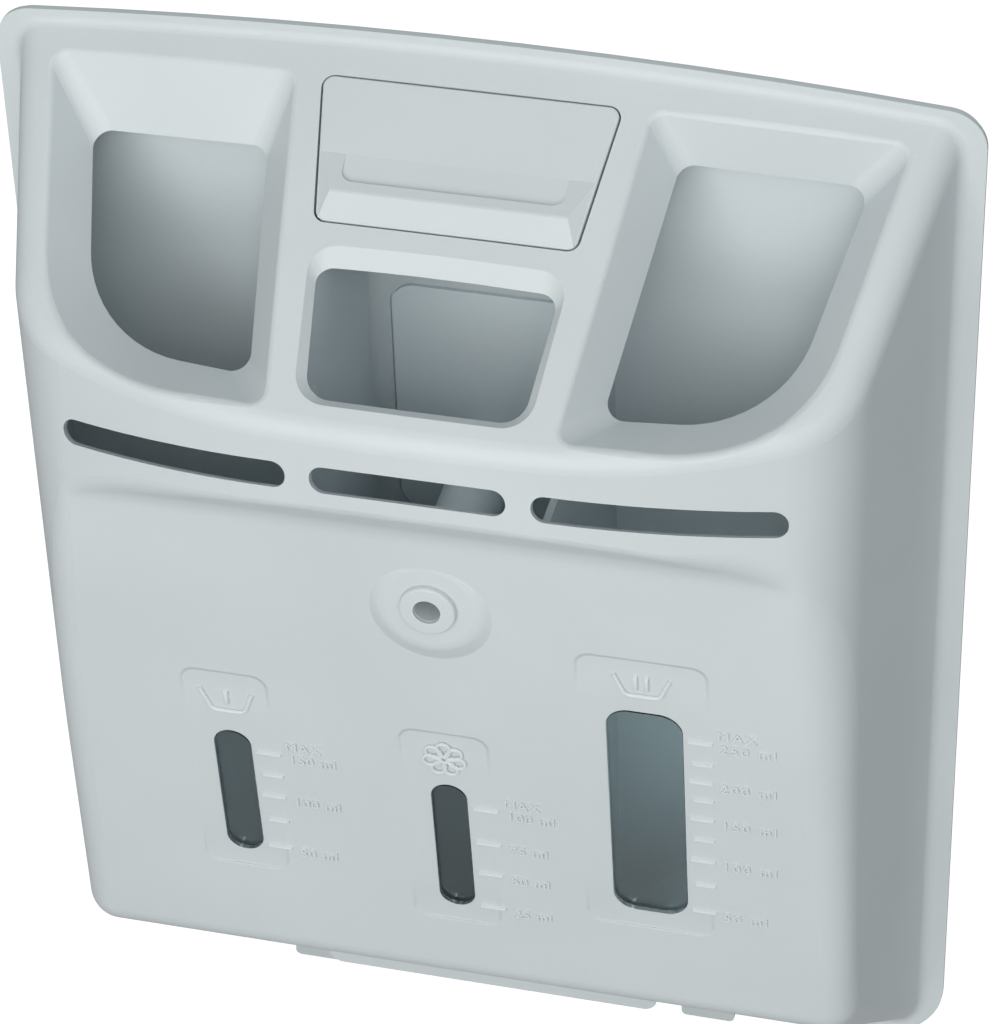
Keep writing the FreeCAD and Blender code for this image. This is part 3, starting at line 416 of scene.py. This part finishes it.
def pick(piece, test):
    """In edit mode, select the corners whose place passes the test."""
    bpy.ops.mesh.select_all(action="DESELECT")
    bpy.ops.object.mode_set(mode="OBJECT")
    for corner in piece.data.vertices:
        corner.select = test(corner.co / MM)
    bpy.ops.object.mode_set(mode="EDIT")


def join_as(name, pieces, finish=mark_finish):
    """Join the pieces of a mark, which is moulded on the front cover, into one and attach it to the
    unit's body.
    """
    only(*pieces)
    if len(pieces) > 1:
        bpy.ops.object.join()
    joined = bpy.context.object
    joined.name = name
    joined.data.name = name
    bpy.ops.object.shade_smooth_by_angle(angle=math.radians(SMOOTH_ANGLE))
    joined.data.materials.clear()
    joined.data.materials.append(finish)
    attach(joined, "unit")
    return joined


print("panel's lower end, mm:", round(PANEL_LEAN * (PANEL_END - PANEL_DROP) - PANEL_OUT, 1))

# %% [markdown]
# Moulded ridges never have upright sides: they taper, so that the part leaves the tool. A bar is a block
# whose top face is drawn in and whose top edges are then softened. The scale's ticks and the strokes
# inside the tub signs are all such bars.

# %% Tapered bars
TAPER = 0.72               # width of a bar's top, as a share of its foot
BAR_EASE = 0.2             # rounding of the top edges, as a share of the width


def raised_bar(length, width, height):
    """A bar round the origin, length along X, with a narrower top."""
    bpy.ops.mesh.primitive_cube_add(size=1)
    bar = bpy.context.object
    bar.scale = (length * MM, width * MM, height * MM)
    bpy.ops.object.transform_apply(scale=True)
    bpy.ops.object.mode_set(mode="EDIT")
    bpy.ops.mesh.select_mode(type="VERT")
    pick(bar, lambda c: c.z > 0)
    thin = min(length, width)
    inset = thin * (1 - TAPER)
    bpy.ops.transform.resize(value=(1 - inset / length, 1 - inset / width, 1))
    bpy.ops.mesh.bevel(offset=thin * BAR_EASE * MM, segments=2, affect="EDGES")
    bpy.ops.object.mode_set(mode="OBJECT")
    return bar


print("bars taper to", TAPER)

# %% [markdown]
# The signs are outlines with a half-round section. Each outline starts as a flat face: the tub is a
# square whose top edge is taken away and whose foot is drawn in, the flower's petal is a ring pinched to
# a drop. The edges then become a curve, which is given a round section and turned into a mesh.

# %% Outlines with a round section
TUB_CORNER = 0.2           # rounding of the tub's foot, as a share of its height
PETAL_POINTS = 20
PETAL_R = 0.42             # shares of the flower's radius: a petal's radius,
PETAL_OUT = 0.58           # the distance of its middle
PETAL_NECK = 0.1           # and how far below its middle it narrows
PETAL_PINCH = 0.4          # the narrow part keeps this share of its width
PETAL_SLIM = 0.82          # and then the whole petal keeps this share


def ridge_from_edges(piece, width):
    """Turn the edges of a flat mesh into a round ridge."""
    only(piece)
    bpy.ops.object.convert(target="CURVE")
    piece = bpy.context.object
    piece.data.bevel_depth = width / 2 * MM
    piece.data.bevel_resolution = 2
    piece.data.use_fill_caps = True
    bpy.ops.object.convert(target="MESH")
    return bpy.context.object


def tub_sign(width, foot, height, ridge):
    """An open tub round the origin, narrower at its foot."""
    bpy.ops.mesh.primitive_plane_add(size=1)
    tub = bpy.context.object
    tub.scale = (width * MM, height * MM, 1)
    bpy.ops.object.transform_apply(scale=True)
    bpy.ops.object.mode_set(mode="EDIT")
    bpy.ops.mesh.select_mode(type="VERT")
    pick(tub, lambda c: c.y > 0)
    bpy.ops.mesh.select_mode(type="EDGE")
    bpy.ops.mesh.delete(type="EDGE")
    bpy.ops.mesh.select_mode(type="VERT")
    pick(tub, lambda c: c.y < 0)
    bpy.ops.transform.resize(value=(foot / width, 1, 1))
    bpy.ops.mesh.bevel(offset=height * TUB_CORNER * MM, segments=4, affect="VERTICES")
    bpy.ops.object.mode_set(mode="OBJECT")
    return ridge_from_edges(tub, ridge)


def flower_sign(radius, petals, ridge):
    """Petals in a ring round the origin."""
    bpy.ops.mesh.primitive_circle_add(vertices=PETAL_POINTS, radius=radius * PETAL_R * MM)
    petal = bpy.context.object
    bpy.ops.object.mode_set(mode="EDIT")
    pick(petal, lambda c: c.y < -PETAL_NECK * radius)
    bpy.ops.transform.resize(value=(PETAL_PINCH, 1, 1))
    bpy.ops.mesh.select_all(action="SELECT")
    bpy.ops.transform.resize(value=(PETAL_SLIM, 1, 1))
    bpy.ops.transform.translate(value=(0, radius * PETAL_OUT * MM, 0))
    bpy.ops.object.mode_set(mode="OBJECT")
    petal = ridge_from_edges(petal, ridge)
    ring = [petal]
    for k in range(1, petals):
        twin = copy_of(petal)
        twin.rotation_euler.z = math.tau * k / petals
        ring.append(twin)
    only(*ring)
    bpy.ops.object.transform_apply(rotation=True)
    bpy.ops.object.join()
    return bpy.context.object


print("points round a petal:", PETAL_POINTS)

# %% [markdown]
# A sign stands over each window: a tub with one stroke for the prewash, a tub with two for the main wash
# and a flower for the softener. The outlines lie about half sunk, so half of the round section shows.

# %% Signs over the windows
RIDGE = 1.15               # width of the tubs' outline
FLOWER_RIDGE = 0.95        # and of the flower's
SIGN_LIFT = 0.0            # the outlines' mid height above the panel
FLOWER_LIFT = 0.1
STROKE_LONG = 4.8          # length of the strokes inside the tubs
STROKE_H = 1.3
STROKE_LIFT = 0.05

prewash = tub_sign(width=14.0, foot=8.6, height=7.4, ridge=RIDGE)
lay_on_panel(prewash, x=-56.2, drop=162.2, lift=SIGN_LIFT)
prewash_stroke = raised_bar(length=1.4, width=STROKE_LONG, height=STROKE_H)
lay_on_panel(prewash_stroke, x=-56.3, drop=160.9, lift=STROKE_LIFT)
prewash_sign = join_as("prewash_sign", [prewash, prewash_stroke])

main = tub_sign(width=14.2, foot=8.8, height=6.8, ridge=RIDGE)
lay_on_panel(main, x=52.6, drop=135.5, lift=SIGN_LIFT)
main_strokes = []
for x in (51.0, 53.8):
    main_strokes.append(raised_bar(length=1.3, width=STROKE_LONG, height=STROKE_H))
    lay_on_panel(main_strokes[-1], x=x, drop=134.2, lift=STROKE_LIFT)
main_sign = join_as("main_wash_sign", [main] + main_strokes)

flower = flower_sign(radius=5.6, petals=7, ridge=FLOWER_RIDGE)
lay_on_panel(flower, x=0.25, drop=172.3, lift=FLOWER_LIFT)
softener_sign = join_as("softener_sign", [flower])
for sign in (prewash_sign, main_sign, softener_sign):
    print(sign.name, len(sign.data.polygons), "faces")

# %% [markdown]
# Round the siphon's outlet stands a low, flat collar that keeps drips off the panel. It starts as its
# section, a small rectangle whose outer front corner is rounded, as the tool leaves it. The section's
# outline is then turned once round the outlet's axis, as on a lathe.

# %% Collar round the siphon's outlet
COLLAR_POINTS = 72         # corners round the collar
COLLAR_BORE = 3.5          # radius of the bore, just wider than the outlet
COLLAR_R = 7.2             # radius of the foot
COLLAR_RISE = 1.7          # height of the washer
COLLAR_SUNK = 0.8          # of which this much lies in the pad's raised ring
COLLAR_EASE = 0.7          # rounding of the outer edge
COLLAR_Y = -69.1           # face of the pad's raised ring
OUTLET_DROP = 117.0        # the outlet's middle lies this far below the rim's corners

bpy.ops.mesh.primitive_plane_add(size=1)
collar = bpy.context.object
collar.scale = ((COLLAR_R - COLLAR_BORE) * MM, COLLAR_RISE * MM, 1)
collar.location = Vector(((COLLAR_R + COLLAR_BORE) / 2, -COLLAR_RISE / 2, 0)) * MM
bpy.ops.object.transform_apply(location=True, scale=True)
bpy.ops.object.mode_set(mode="EDIT")
bpy.ops.mesh.select_mode(type="VERT")
pick(collar, lambda c: c.x > (COLLAR_BORE + COLLAR_R) / 2 and c.y < -COLLAR_RISE / 2)
bpy.ops.mesh.bevel(offset=COLLAR_EASE * MM, segments=4, affect="VERTICES")
bpy.ops.mesh.select_all(action="SELECT")
bpy.ops.mesh.delete(type="ONLY_FACE")
bpy.ops.object.mode_set(mode="OBJECT")
lathe = collar.modifiers.new("lathe", "SCREW")
lathe.axis = "Y"
lathe.steps = COLLAR_POINTS
lathe.render_steps = COLLAR_POINTS
bpy.ops.object.modifier_apply(modifier=lathe.name)
bpy.ops.object.mode_set(mode="EDIT")
bpy.ops.mesh.select_all(action="SELECT")
bpy.ops.mesh.normals_make_consistent(inside=False)
bpy.ops.object.mode_set(mode="OBJECT")
collar.location = Vector((0, COLLAR_Y + COLLAR_SUNK, RIM_LEVEL - OUTLET_DROP)) * MM
bpy.ops.object.transform_apply(location=True)
collar = join_as("outlet_collar", [collar], finishes["front_cover"])
print("collar's front at y mm:", round(min(v.co.y for v in collar.data.vertices) / MM, 2))

# %% [markdown]
# Beside each window stands a scale. A tick belongs to every step, and a number of millilitres to the
# main ones, with the word MAX over the topmost. The numbers are plain raised lettering. Text is a curve
# in Blender, so it is turned into a mesh before it is laid on the panel.

# %% Scales beside the windows
TICK_W = 0.75
TICK_H = 1.3
TICK_LIFT = 0.15           # a tick's mid height above the panel
SHORT = 0.85               # length of a tick without a number, as a share of the others
LETTER_H = 2.9             # height of a figure
FIGURE_SHARE = 0.7         # and its share of the type size
LETTER_RISE = 0.6          # letters stand this far above the panel, and go as far below
LETTER_STEPS = 4           # straight pieces in each bend of a letter
NUMBER_DROP = 1.1          # a number's middle lies this far below its tick
MAX_RISE = 3.6             # and the word MAX this far above it
MAX_SHIFT = 0.6            # and this much further left


def lettering(words, left, drop, spread):
    """Raised words that start at this x, with their middle at this drop."""
    bpy.ops.object.text_add()
    text = bpy.context.object
    text.data.body = words
    text.data.size = LETTER_H / FIGURE_SHARE * MM
    text.data.space_character = spread
    text.data.align_y = "CENTER"
    text.data.extrude = LETTER_RISE * MM
    text.data.resolution_u = LETTER_STEPS
    bpy.ops.object.convert(target="MESH")
    text = bpy.context.object
    lay_on_panel(text, left, drop, 0)
    return text


def scale_beside(name, tick_x, length, text_x, spread, rows):
    """Ticks from tick_x on and numbers from text_x on. Each row is a drop and a number."""
    bar = raised_bar(length, TICK_W, TICK_H)
    short_bar = raised_bar(length * SHORT, TICK_W, TICK_H)
    marks = []
    for drop, number in rows:
        tick = copy_of(bar if number else short_bar)
        shift = 0 if number else length * (1 - SHORT) / 2
        lay_on_panel(tick, tick_x + length / 2 + shift, drop, TICK_LIFT)
        marks.append(tick)
        if number:
            marks.append(lettering(number + " ml", text_x, drop + NUMBER_DROP, spread))
    marks.append(lettering("MAX", text_x - MAX_SHIFT, rows[0][0] - MAX_RISE, spread))
    only(bar, short_bar)
    bpy.ops.object.delete()
    made = join_as(name, marks)
    print(name, len(rows), "ticks,", len(made.data.polygons), "faces")


scale_beside(
    "prewash_scale", tick_x=-50.0, length=6.6, text_x=-41.4, spread=1.12,
    rows=[(179.7, "150"), (187.9, ""), (195.9, "100"), (205.2, ""), (215.5, "50")])
scale_beside(
    "softener_scale", tick_x=7.0, length=6.7, text_x=15.8, spread=1.12,
    rows=[(189.3, "100"), (202.1, "75"), (213.9, "50"), (226.9, "25")])
scale_beside(
    "main_wash_scale", tick_x=63.7, length=6.4, text_x=71.8, spread=1.28,
    rows=[
        (152.5, "250"), (160.2, ""), (166.8, "200"), (173.5, ""), (180.6, "150"),
        (188.2, ""), (196.2, "100"), (205.5, ""), (215.7, "50")])
